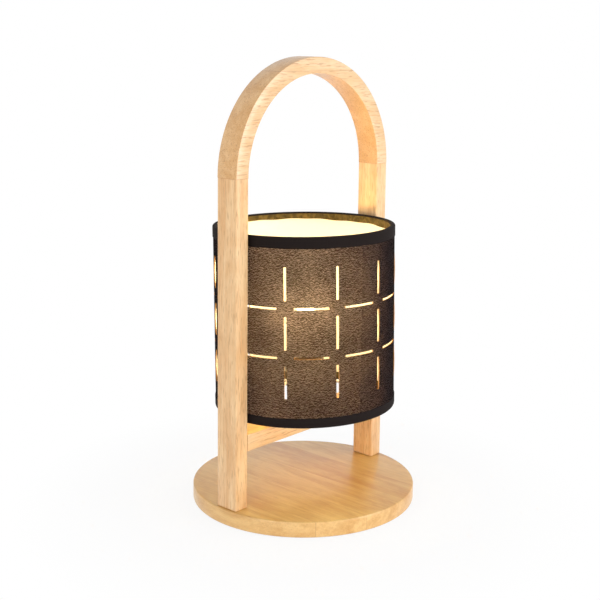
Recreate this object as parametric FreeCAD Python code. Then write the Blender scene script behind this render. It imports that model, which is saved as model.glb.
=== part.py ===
import FreeCAD, Part
import math
import os

from FreeCAD import Vector

# Bedside lamp with a wooden carrying arch and a slotted drum shade.
# Millimetres, +Z up. The origin is the centre of the felt under the base.
# The posts stand on the X axis, the arch lies in the XZ plane and the front is -Y.

# Wooden stand
base_diameter = 200.0
base_thickness = 14.0
base_edge_chamfer = 1.3
felt_thickness = 1.0
felt_rim_margin = 6.0
post_rim_margin = 1.36
stock_thickness = 14.0
stock_width = 22.5
post_height = 283.0
crossbar_lift = 50.0
crossbar_height = 15.0

# Joinery in the stand
tenon_thickness = 6.0
tenon_width = 14.0
tenon_length = 7.0
seam_tenon_length = 28.0
tenon_fit = 0.05
tenon_end_gap = 0.5

# Threaded tube that holds the lampholder on the crossbar, its lower end in a recess under the bar
recess_diameter = 17.5
recess_depth = 7.0
tube_diameter = 10.0
tube_bore = 8.0
tube_into_holder = 9.5
tube_stub = 0.2
tube_fit = 0.1
crossbar_hole_fit = 0.15
washer_diameter = 16.8
washer_thickness = 1.0
tube_nut_across_flats = 14.0
tube_nut_height = 2.5
bush_bore = 6.8
bush_across_flats = 12.0
bush_head_height = 2.8
bush_sleeve_length = 6.0
bush_fit = 0.15

# Lampholder
holder_foot_diameter = 19.0
holder_cap_diameter = 31.0
holder_cap_height = 26.0
holder_cap_floor = 10.0
holder_spigot_height = 3.0
holder_wall = 2.0
skirt_bore = 27.0
skirt_fit = 0.05
skirt_flange_diameter = 41.0
skirt_flange_height = 4.5
skirt_thread_diameter = 34.0
skirt_thread_length = 40.5
insert_height = 9.0
insert_fit = 0.05
grub_screw_diameter = 3.0
grub_screw_lift = 5.0
grub_screw_fit = 0.05
grub_slot_width = 0.6
grub_slot_depth = 0.8
contact_sheet = 0.4
contact_width = 5.0
contact_foot = 4.0
contact_top = 5.0
contact_rise = 3.0
side_contact_height = 12.0
side_contact_foot = 3.0
side_contact_play = 0.1

# Ring nut that clamps the shade
ring_nut_diameter = 44.0
ring_nut_height = 7.0
ring_nut_play = 0.3
ring_nut_thread_fit = 0.05
ring_nut_notch_count = 12
ring_nut_notch_width = 3.0
ring_nut_notch_depth = 1.0

# Shade
shade_side_gap = 3.4
shade_lift = 8.0
shade_height = 162.0
sheet_thickness = 1.0
tape_thickness = 0.5
tape_top_height = 9.7
tape_bottom_height = 8.5
tape_inner_height = 6.5
wrapped_wire_width = 3.0
seam_angle = 30.5
seam_gap_angle = 43.0
seam_lap_width = 10.0
seam_lap_step = 0.05
slit_columns = 11
slit_rows = 3
slit_pitch_height = 41.8
slit_length = 28.5
slit_width = 2.3
cross_slit_length = 29.5
cross_slit_height = 2.0
fitter_diameter = 46.0
fitter_thickness = 1.5
fitter_fit = 0.3
fitter_arm_count = 3
fitter_arm_diameter = 2.6
fitter_arm_turn = 30.0
fitter_arm_lift = 1.2

# Bulb
bulb_diameter = 45.0
bulb_wall = 0.8
bulb_neck_diameter = 24.8
bulb_neck_bend = 10.0
bulb_neck_in_cap = 4.0
bulb_centre_lift = 52.5
cap_shell_diameter = 26.4
cap_shell_sheet = 0.4
cap_shell_lower_diameter = 20.0
cap_shell_height = 23.5
cap_insulator_height = 2.5
cap_tip_diameter = 9.6
cap_tip_height = 1.0
stem_foot_gap = 0.1
stem_foot_height = 1.2
stem_cone_height = 4.0
stem_diameter = 7.0
stem_rod_diameter = 3.0
stem_shoulder_gap = 1.5
filament_diameter = 1.8
filament_length = 28.0
filament_circle = 16.0
filament_count = 4
filament_turn = 41.4
lead_width = 0.7
lead_gap = 0.1
board_width = 14.0
board_thickness = 1.2
board_height = 14.0

# Flat sides that stand for the round of small inner parts, so that they stay light
bulb_sides = 32
bulb_steps = 8
bulb_inner_sides = 16
bulb_inner_steps = 5
holder_sides = 24
skirt_sides = 48
wire_sides = 6

# Shared by all cuts, so that each passes right through its face
overrun = 1.0

# Places that follow from the sizes
base_top = felt_thickness + base_thickness
base_radius = base_diameter / 2
stand_half_width = math.sqrt((base_radius - post_rim_margin) ** 2 - (stock_width / 2) ** 2)
post_inner_x = stand_half_width - stock_thickness
post_centre_x = stand_half_width - stock_thickness / 2
seam_z = base_top + post_height
crossbar_low = base_top + crossbar_lift
crossbar_top = crossbar_low + crossbar_height
crossbar_middle = crossbar_low + crossbar_height / 2
recess_top = crossbar_low + recess_depth
tube_radius = tube_diameter / 2
tube_nut_top = recess_top - washer_thickness
tube_low = tube_nut_top - tube_nut_height - tube_stub
cap_shoulder = crossbar_top + holder_cap_height
insert_low = cap_shoulder + holder_spigot_height
insert_top = insert_low + insert_height
skirt_shoulder = cap_shoulder + skirt_flange_height
skirt_top = skirt_shoulder + skirt_thread_length
skirt_bore_radius = skirt_bore / 2
spigot_radius = skirt_bore_radius - skirt_fit
thread_radius = skirt_thread_diameter / 2
fitter_top = skirt_shoulder + fitter_thickness
shade_radius = post_inner_x - shade_side_gap
shade_low = crossbar_top + shade_lift
shade_top = shade_low + shade_height
shade_middle = shade_low + shade_height / 2
sheet_radius = shade_radius - tape_thickness
sheet_inner_radius = sheet_radius - sheet_thickness
rim_inner_radius = sheet_inner_radius - wrapped_wire_width
sheet_low = shade_low + tape_inner_height
sheet_top = shade_top - tape_inner_height
bulb_tip_z = insert_top + contact_rise
bulb_centre_z = bulb_tip_z + bulb_centre_lift
cap_insulator_low = bulb_tip_z + cap_tip_height
cap_shell_low = cap_insulator_low + cap_insulator_height
cap_shell_top = cap_shell_low + cap_shell_height
filament_low = bulb_centre_z - filament_length / 2
filament_top = bulb_centre_z + filament_length / 2
up = Vector(0, 0, 1)


# Shapes that several pieces share
def cylinder(radius, low, high, x=0, y=0):
    """An upright cylinder between two heights."""
    return Part.makeCylinder(radius, high - low, Vector(x, y, low), up)


def ring(outer, inner, low, high):
    """A plain ring round the Z axis, cut through with the shared overrun."""
    return cylinder(outer, low, high).cut(cylinder(inner, low - overrun, high + overrun))


def block(x_low, x_high, y_low, y_high, z_low, z_high):
    """A box given by its limits."""
    return Part.makeBox(x_high - x_low, y_high - y_low, z_high - z_low, Vector(x_low, y_low, z_low))


def closed_face(*points):
    """A face in the XZ plane with straight sides."""
    corners = [Vector(x, 0, z) for x, z in points + points[:1]]
    return Part.Face(Part.makePolygon(corners))


def turned(*outline):
    """An outline, as radius and height, turned about the Z axis."""
    return closed_face(*outline).revolve(Vector(0, 0, 0), up, 360)


def faceted(sides, *outline):
    """The same with flat sides, their corners on the round form."""
    turns = [math.radians(360 * index / sides) for index in range(sides)]
    rings = [[Vector(radius * math.cos(turn), radius * math.sin(turn), height) for turn in turns]
             for radius, height in outline]
    faces = []
    for lower, upper in zip(rings, rings[1:] + rings[:1]):
        for index in range(sides):
            corners = [lower[index - 1], lower[index], upper[index], upper[index - 1]]
            corners = [corner for place, corner in enumerate(corners) if corner not in corners[:place]]
            if len(corners) > 2:
                faces.append(Part.Face(Part.makePolygon(corners + corners[:1])))
    solid = Part.Solid(Part.Shell(faces))
    if solid.Volume < 0:
        solid.reverse()
    return solid.removeSplitter()


def point_on_circle(centre, radius, angle):
    """A point in the XZ plane at an angle from +X."""
    turn = math.radians(angle)
    return (centre[0] + radius * math.cos(turn), centre[1] + radius * math.sin(turn))


def around(shape, angle):
    """A copy turned about the Z axis."""
    copy = shape.copy()
    copy.rotate(Vector(0, 0, 0), up, angle)
    return copy


def rod(radius, start, end):
    """A wire or small screw from one point to another, drawn with a few flat sides."""
    way = end - start
    across = up.cross(way) if up.cross(way).Length else Vector(1, 0, 0)
    first = across.normalize() * radius
    second = way.cross(first).normalize() * radius
    turns = [math.radians(360 * index / wire_sides) for index in range(wire_sides + 1)]
    corners = [start + first * math.cos(turn) + second * math.sin(turn) for turn in turns]
    return Part.Face(Part.makePolygon(corners)).extrude(way)


def hexagon(across_flats, low, high):
    """A six-sided prism on the Z axis."""
    return faceted(wire_sides, (0, low), (across_flats / math.sqrt(3), low),
                   (across_flats / math.sqrt(3), high), (0, high))


def sleeve(radius, bore, low, high):
    """A tube, or with no bore a pin, with flat sides."""
    return faceted(holder_sides, (bore, low), (radius, low), (radius, high), (bore, high))


# Wooden stand
def tenon(low, high, x, fit):
    """An upright tenon in a post, or with a fit its mortise."""
    half_depth = tenon_thickness / 2 + fit
    half_width = tenon_width / 2 + fit
    return block(x - half_depth, x + half_depth, -half_width, half_width, low, high)


def seam_tenon(side, gap=0, fit=0):
    """The loose tenon across the seam of post and arch, or with gap and fit its mortise."""
    reach = seam_tenon_length / 2 + gap
    return tenon(seam_z - reach, seam_z + reach, side * post_centre_x, fit)


def foot_tenon(side, gap=0, fit=0):
    """The tenon under a post, which goes into the base."""
    return tenon(base_top - tenon_length - gap, base_top + gap, side * post_centre_x, fit)


def crossbar_tenons(gap=0, fit=0):
    """The stub tenons on both ends of the crossbar, or with gap and fit the mortises for them."""
    reach = post_inner_x + tenon_length + gap
    half_width = tenon_width / 2 + fit
    half_height = tenon_thickness / 2 + fit
    return block(-reach, reach, -half_width, half_width,
                 crossbar_middle - half_height, crossbar_middle + half_height)


def make_base_disc():
    edge = base_edge_chamfer
    disc = turned((0, felt_thickness), (base_radius, felt_thickness), (base_radius, base_top - edge),
                  (base_radius - edge, base_top), (0, base_top))
    return disc.cut([foot_tenon(side, tenon_end_gap, tenon_fit) for side in (-1, 1)])


def make_base_felt():
    return cylinder(base_radius - felt_rim_margin, 0, felt_thickness)


def make_post(side):
    """A square-edged post with its foot tenon and mortises; side is -1 on the left, 1 on the right."""
    x = side * post_centre_x
    half_thickness = stock_thickness / 2
    post = block(x - half_thickness, x + half_thickness, -stock_width / 2, stock_width / 2, base_top, seam_z)
    mortises = [seam_tenon(side, tenon_end_gap, tenon_fit), crossbar_tenons(tenon_end_gap, tenon_fit)]
    return post.fuse(foot_tenon(side)).cut(mortises)


def make_arch():
    """Half a ring of the posts' own section, standing on the two posts."""
    section = Part.makePlane(stock_thickness, stock_width, Vector(post_inner_x, -stock_width / 2, seam_z))
    arch = section.revolve(Vector(0, 0, seam_z), Vector(0, -1, 0), 180)
    return arch.cut([seam_tenon(side, tenon_end_gap, tenon_fit) for side in (-1, 1)])


def make_crossbar():
    """The rail between the posts: a stub tenon at each end, and a hole and a recess for the threaded tube."""
    bar = block(-post_inner_x, post_inner_x, -stock_width / 2, stock_width / 2, crossbar_low, crossbar_top)
    hole = sleeve(tube_radius + crossbar_hole_fit, 0, crossbar_low - overrun, crossbar_top + overrun)
    recess = sleeve(recess_diameter / 2, 0, crossbar_low - overrun, recess_top)
    return bar.fuse(crossbar_tenons()).cut([hole, recess])


# Threaded tube and its fasteners
def make_threaded_tube():
    return sleeve(tube_radius, tube_bore / 2, tube_low, crossbar_top + tube_into_holder)


def make_tube_washer():
    return sleeve(washer_diameter / 2, tube_radius + crossbar_hole_fit, tube_nut_top, recess_top)


def make_tube_nut():
    low = tube_nut_top - tube_nut_height
    nut = hexagon(tube_nut_across_flats, low, tube_nut_top)
    return nut.cut(sleeve(tube_radius + tube_fit, 0, low - overrun, tube_nut_top + overrun))


def make_cord_bush():
    """The plastic bush with a six-sided head in the tube's lower end, where the cord would come out."""
    head_low = tube_low - bush_head_height
    top = tube_low + bush_sleeve_length
    head = hexagon(bush_across_flats, head_low, tube_low)
    bush = head.fuse(sleeve(tube_bore / 2 - bush_fit, 0, tube_low, top))
    return bush.cut(cylinder(bush_bore / 2, head_low - overrun, top + overrun))


# Lampholder
def make_holder_cap():
    """The lower shell: a solid flared foot round the tube, a hollow body and a spigot on top."""
    foot = holder_foot_diameter / 2
    body = holder_cap_diameter / 2
    bore = tube_radius + tube_fit
    hollow = spigot_radius - holder_wall
    floor = crossbar_top + holder_cap_floor
    cap = faceted(holder_sides, (bore, crossbar_top), (foot, crossbar_top), (body, floor),
                  (body, cap_shoulder), (spigot_radius, cap_shoulder), (spigot_radius, insert_low),
                  (hollow, insert_low), (hollow, floor), (bore, floor))
    height = crossbar_top + grub_screw_lift
    hole = rod(grub_screw_diameter / 2 + grub_screw_fit, Vector(0, 0, height), Vector(0, body + overrun, height))
    return cap.cut(hole)


def make_grub_screw():
    """The small screw that locks the holder on its tube, on the side away from the front."""
    height = crossbar_top + grub_screw_lift
    start = tube_radius + tube_fit
    end = holder_foot_diameter / 2 + grub_slot_depth
    screw = rod(grub_screw_diameter / 2, Vector(0, start, height), Vector(0, end, height))
    slot = block(-grub_screw_diameter, grub_screw_diameter, end - grub_slot_depth, end + overrun,
                 height - grub_slot_width / 2, height + grub_slot_width / 2)
    return screw.cut(slot)


def side_contact_recess():
    """The pocket in the skirt's bore that holds the side contact."""
    half_width = contact_width / 2 + side_contact_play
    deep = skirt_bore_radius + contact_sheet + 2 * side_contact_play
    return block(0, deep, -half_width, half_width, insert_top - contact_foot,
                 insert_top + side_contact_height + side_contact_play)


def make_holder_skirt():
    """The upper shell: a flange for the shade and the long outside thread."""
    flange = skirt_flange_diameter / 2
    skirt = faceted(skirt_sides, (skirt_bore_radius, cap_shoulder), (flange, cap_shoulder),
                    (flange, skirt_shoulder), (thread_radius, skirt_shoulder), (thread_radius, skirt_top),
                    (skirt_bore_radius, skirt_top))
    return skirt.cut(side_contact_recess())


def make_holder_insert():
    """The insulating disc that carries the contacts."""
    insert = sleeve(skirt_bore_radius - insert_fit, 0, insert_low, insert_top)
    foot_room = spigot_radius - side_contact_foot - side_contact_play
    half_width = contact_width / 2 + side_contact_play
    notch = block(foot_room, spigot_radius + overrun, -half_width, half_width,
                  insert_top - contact_sheet - side_contact_play, insert_top + overrun)
    return insert.cut(notch)


def make_centre_contact():
    """A sprung brass tongue: a foot on the insert and a raised top under the bulb's tip."""
    top = bulb_tip_z
    foot_end = -contact_top / 2 - contact_rise
    foot_start = foot_end - contact_foot / 2
    sheet = contact_sheet
    tongue = closed_face((foot_start, insert_top), (foot_end + sheet, insert_top),
                         (-contact_top / 2 + sheet, top - sheet), (contact_top / 2, top - sheet),
                         (contact_top / 2, top), (-contact_top / 2, top), (foot_end, insert_top + sheet),
                         (foot_start, insert_top + sheet))
    tongue = tongue.extrude(Vector(0, contact_width, 0))
    tongue.translate(Vector(0, -contact_width / 2, 0))
    return tongue


def make_side_contact():
    """An angle of brass sheet: its foot lies in the insert, its leg stands in the skirt's pocket."""
    inner = skirt_bore_radius + side_contact_play
    outer = inner + contact_sheet
    low = insert_top - contact_sheet
    foot = inner - side_contact_foot
    leg = closed_face((foot, low), (outer, low), (outer, insert_top + side_contact_height),
                      (inner, insert_top + side_contact_height), (inner, insert_top), (foot, insert_top))
    leg = leg.extrude(Vector(0, contact_width, 0))
    leg.translate(Vector(0, -contact_width / 2, 0))
    return leg


def make_ring_nut():
    """The shade's clamping ring, with finger notches round its rim."""
    low = fitter_top + ring_nut_play
    high = low + ring_nut_height
    outer = ring_nut_diameter / 2
    nut = ring(outer, thread_radius + ring_nut_thread_fit, low, high)
    half_width = ring_nut_notch_width / 2
    notch = block(outer - ring_nut_notch_depth, outer + overrun, -half_width, half_width,
                  low - overrun, high + overrun)
    notches = [around(notch, index * 360 / ring_nut_notch_count) for index in range(ring_nut_notch_count)]
    return nut.cut(Part.makeCompound(notches))


# Shade
def slit_cutters():
    """The pattern of the shade: columns of upright slits, and level slits between them.

    The columns are evenly spaced all round but for the wider bay that holds the seam.
    """
    reach = sheet_inner_radius - overrun
    outer = shade_radius + overrun
    pitch = (360 - seam_gap_angle) / (slit_columns - 1)
    cross_angle = math.degrees(cross_slit_length / shade_radius)
    first_row = shade_middle - (slit_rows - 1) * slit_pitch_height / 2
    cutters = []
    for column in range(slit_columns):
        angle = seam_angle + seam_gap_angle / 2 + column * pitch
        for row in range(slit_rows):
            middle = first_row + row * slit_pitch_height
            slit = block(reach, outer, -slit_width / 2, slit_width / 2,
                         middle - slit_length / 2, middle + slit_length / 2)
            cutters.append(around(slit, angle))
        if column == slit_columns - 1:
            continue
        for row in range(slit_rows - 1):
            middle = first_row + (row + 0.5) * slit_pitch_height
            low = middle - cross_slit_height / 2
            high = middle + cross_slit_height / 2
            section = closed_face((reach, low), (outer, low), (outer, high), (reach, high))
            sector = section.revolve(Vector(0, 0, 0), up, cross_angle)
            cutters.append(around(sector, angle + (pitch - cross_angle) / 2))
    return Part.makeCompound(cutters)


def seam_lap():
    """The strip where the rolled sheet overlaps itself, between the two tapes."""
    angle = math.degrees(seam_lap_width / shade_radius)
    low = shade_low + tape_bottom_height
    high = shade_top - tape_top_height
    inner = sheet_radius - sheet_thickness / 2
    outer = shade_radius - seam_lap_step
    section = closed_face((inner, low), (outer, low), (outer, high), (inner, high))
    return around(section.revolve(Vector(0, 0, 0), up, angle), seam_angle - angle / 2)


def make_shade_sheet():
    """The rolled sheet, cloth outside and clear liner inside, with its slits."""
    sheet = ring(sheet_radius, sheet_inner_radius, sheet_low, sheet_top)
    return sheet.fuse(seam_lap()).cut(slit_cutters())


def make_rim(edge, inwards, outer_height):
    """A tape wrapped round a ring wire: a band outside the sheet and a thick fold inside it.

    The number inwards is 1 for the lower rim and -1 for the upper one.
    """
    band_end = edge + inwards * outer_height
    fold_end = edge + inwards * tape_inner_height
    return turned((rim_inner_radius, edge), (shade_radius, edge), (shade_radius, band_end),
                  (sheet_radius, band_end), (sheet_radius, fold_end), (rim_inner_radius, fold_end))


def make_shade_fitter():
    """The ring that sits on the lampholder's flange, with three welded arms down to the lower rim."""
    hub = fitter_diameter / 2
    fitter = ring(hub, thread_radius + fitter_fit, skirt_shoulder, fitter_top)
    half = fitter_arm_diameter / 2
    start = Vector(hub - fitter_thickness, 0, fitter_top - fitter_thickness / 2)
    end = Vector(rim_inner_radius + half, 0, shade_low + fitter_arm_lift + half)
    arm = rod(half, start, end).common(cylinder(rim_inner_radius, shade_low, skirt_shoulder + half))
    step = 360 / fitter_arm_count
    arms = [around(arm, seam_angle + fitter_arm_turn + index * step) for index in range(fitter_arm_count)]
    return fitter.fuse(arms)


# Bulb
def bulb_outline(inset, steps, end):
    """Crown, sphere, bend and neck of the glass as points, taken in by a wall, down to a height."""
    sphere = bulb_diameter / 2 - inset
    neck = bulb_neck_diameter / 2 - inset
    bend = bulb_neck_bend + inset
    drop = math.sqrt((sphere + bend) ** 2 - (neck + bend) ** 2)
    lean = math.degrees(math.atan2(-drop, neck + bend))
    round_part = [point_on_circle((0, bulb_centre_z), sphere, 90 + (lean - 90) * step / steps)
                  for step in range(1, steps + 1)]
    bend_centre = (neck + bend, bulb_centre_z - drop)
    bend_middle = point_on_circle(bend_centre, bend, 180 + lean / 2)
    return [(0, bulb_centre_z + sphere), *round_part, bend_middle, (neck, bend_centre[1]), (neck, end), (0, end)]


def make_bulb_glass():
    """A clear round envelope whose neck goes down into the cap."""
    end = cap_shell_top - bulb_neck_in_cap
    outside = faceted(bulb_sides, *bulb_outline(0, bulb_steps, end))
    inside = faceted(bulb_inner_sides, *bulb_outline(bulb_wall, bulb_inner_steps, end - overrun))
    return outside.cut(inside)


def make_bulb_cap():
    """The screw cap's thin shell, with its lower rim turned in round the insulator."""
    outer = cap_shell_diameter / 2
    lower = cap_shell_lower_diameter / 2 - cap_shell_sheet
    sheet = cap_shell_sheet
    return faceted(holder_sides, (lower, cap_shell_low), (outer, cap_shell_low), (outer, cap_shell_top),
                   (outer - sheet, cap_shell_top), (outer - sheet, cap_shell_low + sheet),
                   (lower, cap_shell_low + sheet))


def make_cap_insulator():
    """The dark cone between the cap's shell and its tip."""
    lower = cap_shell_lower_diameter / 2
    return faceted(holder_sides, (0, cap_insulator_low), (cap_tip_diameter / 2, cap_insulator_low),
                   (lower, cap_shell_low), (0, cap_shell_low))


def make_cap_tip():
    return sleeve(cap_tip_diameter / 2, 0, bulb_tip_z, cap_insulator_low)


def make_bulb_stem():
    """The glass stem: a foot in the neck, a cone, and a rod that reaches the filaments' upper ends."""
    foot = bulb_neck_diameter / 2 - bulb_wall - stem_foot_gap
    low = cap_shell_top - bulb_neck_in_cap
    cone = low + stem_foot_height + stem_cone_height
    shoulder = filament_low - stem_shoulder_gap
    tube = stem_diameter / 2
    thin = stem_rod_diameter / 2
    crown = filament_top + lead_width + thin
    return faceted(bulb_inner_sides, (0, low), (foot, low), (foot, low + stem_foot_height), (tube, cone),
                   (tube, shoulder), (thin, shoulder + stem_shoulder_gap), (thin, crown - thin), (0, crown))


def filament_places():
    step = 360 / filament_count
    return [filament_turn - 180 + step / 2 + index * step for index in range(filament_count)]


def make_filaments():
    radius = filament_circle / 2
    filament = rod(filament_diameter / 2, Vector(radius, 0, filament_low), Vector(radius, 0, filament_top))
    return [around(filament, turn) for turn in filament_places()]


def make_bulb_leads():
    """Metal tabs that hold each filament at both ends."""
    reach = filament_circle / 2 + filament_diameter / 2
    half_width = lead_width / 2
    low_tab = block(stem_diameter / 2 + lead_gap, reach, -half_width, half_width,
                    filament_low - lead_width, filament_low)
    high_tab = block(stem_rod_diameter / 2 + lead_gap, reach, -half_width, half_width,
                     filament_top, filament_top + lead_width)
    return [around(tab, turn) for turn in filament_places() for tab in (low_tab, high_tab)]


def make_driver_board():
    """The small circuit board that stands on the insulator inside the cap."""
    return block(-board_width / 2, board_width / 2, -board_thickness / 2, board_thickness / 2,
                 cap_shell_low, cap_shell_low + board_height)


# Every node and the solids that it holds
pieces = {
    "base_felt": [make_base_felt()],
    "base_disc": [make_base_disc()],
    "post_left": [make_post(-1)],
    "post_right": [make_post(1)],
    "arch": [make_arch()],
    "crossbar": [make_crossbar()],
    "arch_tenons": [seam_tenon(-1), seam_tenon(1)],
    "threaded_tube": [make_threaded_tube()],
    "tube_washer": [make_tube_washer()],
    "tube_nut": [make_tube_nut()],
    "cord_bush": [make_cord_bush()],
    "holder_cap": [make_holder_cap()],
    "holder_grub_screw": [make_grub_screw()],
    "holder_skirt": [make_holder_skirt()],
    "holder_insert": [make_holder_insert()],
    "centre_contact": [make_centre_contact()],
    "side_contact": [make_side_contact()],
    "ring_nut": [make_ring_nut()],
    "shade_sheet": [make_shade_sheet()],
    "shade_top_rim": [make_rim(shade_top, -1, tape_top_height)],
    "shade_bottom_rim": [make_rim(shade_low, 1, tape_bottom_height)],
    "shade_fitter": [make_shade_fitter()],
    "bulb_glass": [make_bulb_glass()],
    "bulb_cap": [make_bulb_cap()],
    "bulb_cap_insulator": [make_cap_insulator()],
    "bulb_cap_tip": [make_cap_tip()],
    "bulb_stem": [make_bulb_stem()],
    "bulb_filaments": make_filaments(),
    "bulb_leads": make_bulb_leads(),
    "bulb_driver_board": [make_driver_board()],
}

os.makedirs("parts", exist_ok=True)
for name, solids in pieces.items():
    shape = solids[0] if len(solids) == 1 else Part.makeCompound(solids)
    shape.exportStep("parts/" + name + ".step")
    print(name, len(shape.Solids), "solids", round(shape.Volume, 1), "valid", shape.isValid())
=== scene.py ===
"""Finished look of a wooden bedside lamp with a slotted drum shade, built round its fixed frame.

Metres, +Z up, the front is -Y. Each piece has its own operator, and main() calls them in order.
"""

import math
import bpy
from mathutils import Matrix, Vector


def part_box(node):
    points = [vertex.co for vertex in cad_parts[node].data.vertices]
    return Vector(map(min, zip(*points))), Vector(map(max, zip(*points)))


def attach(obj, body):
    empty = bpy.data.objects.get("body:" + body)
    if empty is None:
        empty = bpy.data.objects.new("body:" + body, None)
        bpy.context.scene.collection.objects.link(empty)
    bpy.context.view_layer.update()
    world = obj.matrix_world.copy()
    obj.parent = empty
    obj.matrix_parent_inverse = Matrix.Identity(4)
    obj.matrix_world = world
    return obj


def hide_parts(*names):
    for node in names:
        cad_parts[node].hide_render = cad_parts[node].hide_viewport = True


bl_info = {
    "name": "Bedside lamp",
    "version": (1, 0, 0),
    "blender": (4, 5, 0),
    "location": "3D View > Sidebar > Lamp",
    "description": "Dresses the frame of a wooden bedside lamp with a slotted drum shade",
    "category": "Object",
}

import bpy
from bpy.props import FloatProperty, FloatVectorProperty, IntProperty, PointerProperty
from mathutils import Matrix, Vector

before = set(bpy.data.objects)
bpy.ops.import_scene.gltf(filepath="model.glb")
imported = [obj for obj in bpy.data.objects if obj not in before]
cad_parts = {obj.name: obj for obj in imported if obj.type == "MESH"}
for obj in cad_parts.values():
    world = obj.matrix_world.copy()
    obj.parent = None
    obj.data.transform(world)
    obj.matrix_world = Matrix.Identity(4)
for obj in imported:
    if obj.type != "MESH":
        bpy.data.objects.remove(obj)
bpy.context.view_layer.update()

MM = 0.001
NEAR = MM / 10
UNTINTED = (1, 1, 1, 1)
SHARP_EDGE = 35
PHOTO_PIXELS = 600
SENSOR_WIDTH = 36.0

# Sizes that more than one piece shares and that the frame doesn't give
SHEET_THICKNESS = MM
TAPE_THICKNESS = 0.5 * MM
RIM_DEPTH = 4.5 * MM
THREAD_CREST = 17 * MM
THREAD_ROOT = 16 * MM
BULB_RADIUS = 22.5 * MM
FILAMENT_CIRCLE = 8 * MM


# Colours and places read from the frame
def tone(red, green, blue):
    """A colour as a screen shows it, 0 to 255, as the linear values that a shader takes."""
    linear = []
    for part in (red, green, blue):
        part = part / 255
        linear.append(part / 12.92 if part <= 0.04045 else ((part + 0.055) / 1.055) ** 2.4)
    return (*linear, 1.0)


def radius_of(node):
    """The radius of a round CAD node on the lamp's axis."""
    low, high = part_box(node)
    return (high.x - low.x) / 2


def heights(*nodes):
    """The lowest and the highest level of some CAD nodes."""
    boxes = [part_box(node) for node in nodes]
    return min(low.z for low, high in boxes), max(high.z for low, high in boxes)


def colour_property(name, description, default):
    return FloatVectorProperty(name=name, description=description, subtype="COLOR", size=4, min=0, max=1,
                               default=default)


def length_property(name, description, default):
    return FloatProperty(name=name, description=description, default=default, min=0,
                         subtype="DISTANCE", unit="LENGTH", precision=5)


def angle_property(name, description, degrees):
    return FloatProperty(name=name, description=description, default=math.radians(degrees), unit="ROTATION")


def share_property(name, description, default):
    return FloatProperty(name=name, description=description, default=default, min=0, max=1)


def power_property(name, description, default):
    return FloatProperty(name=name, description=description, default=default, min=0, unit="POWER")


# Settings
class LampWoodSettings(bpy.types.PropertyGroup):
    pale: colour_property("Pale wood", "Early wood of the posts and the crossbar", tone(246, 211, 162))
    tan: colour_property("Tan wood", "Late wood of the posts and the crossbar", tone(224, 174, 118))
    arch_pale: colour_property("Arch, pale", "Early wood of the arch", tone(248, 218, 180))
    arch_tan: colour_property("Arch, tan", "Late wood of the arch", tone(228, 186, 136))
    pore: colour_property("Pores", "Short dark pores along the grain", tone(160, 102, 60))
    base_pale: colour_property("Base, pale", "Pale staves of the base", tone(236, 194, 128))
    base_tan: colour_property("Base, tan", "Warm staves of the base", tone(206, 149, 77))
    # Painted shade: the arch's curved faces are tinted darker and warmer than its front and back
    arch_curve_shade: colour_property("End grain", "Tint where the arch's curve cuts the grain",
                               (0.90, 0.80, 0.63, 1))
    # Painted shade: the base's upper face is tinted darker than its rim
    base_top_shade: colour_property("Base face", "Tint of the base's upper face", (0.81, 0.79, 0.63, 1))
    # Painted light: the crossbar's upper face, and its lower face with it, tinted yellow as the bulb lights
    # the top
    bar_bulb_light: colour_property("Crossbar face", "Tint of the crossbar's upper and lower face",
                              (0.95, 0.80, 0.42, 1))
    glue: colour_property("Glue line", "Joint between two staves", tone(166, 104, 62))
    post_edge: length_property("Post edge", "How far the edges of the posts are rounded", 1.2 * MM)
    arch_edge: length_property("Arch edge", "How far the edges of the arch are rounded", 0.7 * MM)
    joint_groove: length_property("Joint groove", "How far the edges at the arch's joints are broken",
                                  0.3 * MM)
    base_edge: length_property("Base edge", "How far the rims of the base are rounded", 1.4 * MM)
    base_stave: length_property("Base stave", "Width of one stave of the base", 40 * MM)
    arch_stave: length_property("Arch stave", "Width of one stave of the arch", 86 * MM)


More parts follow.
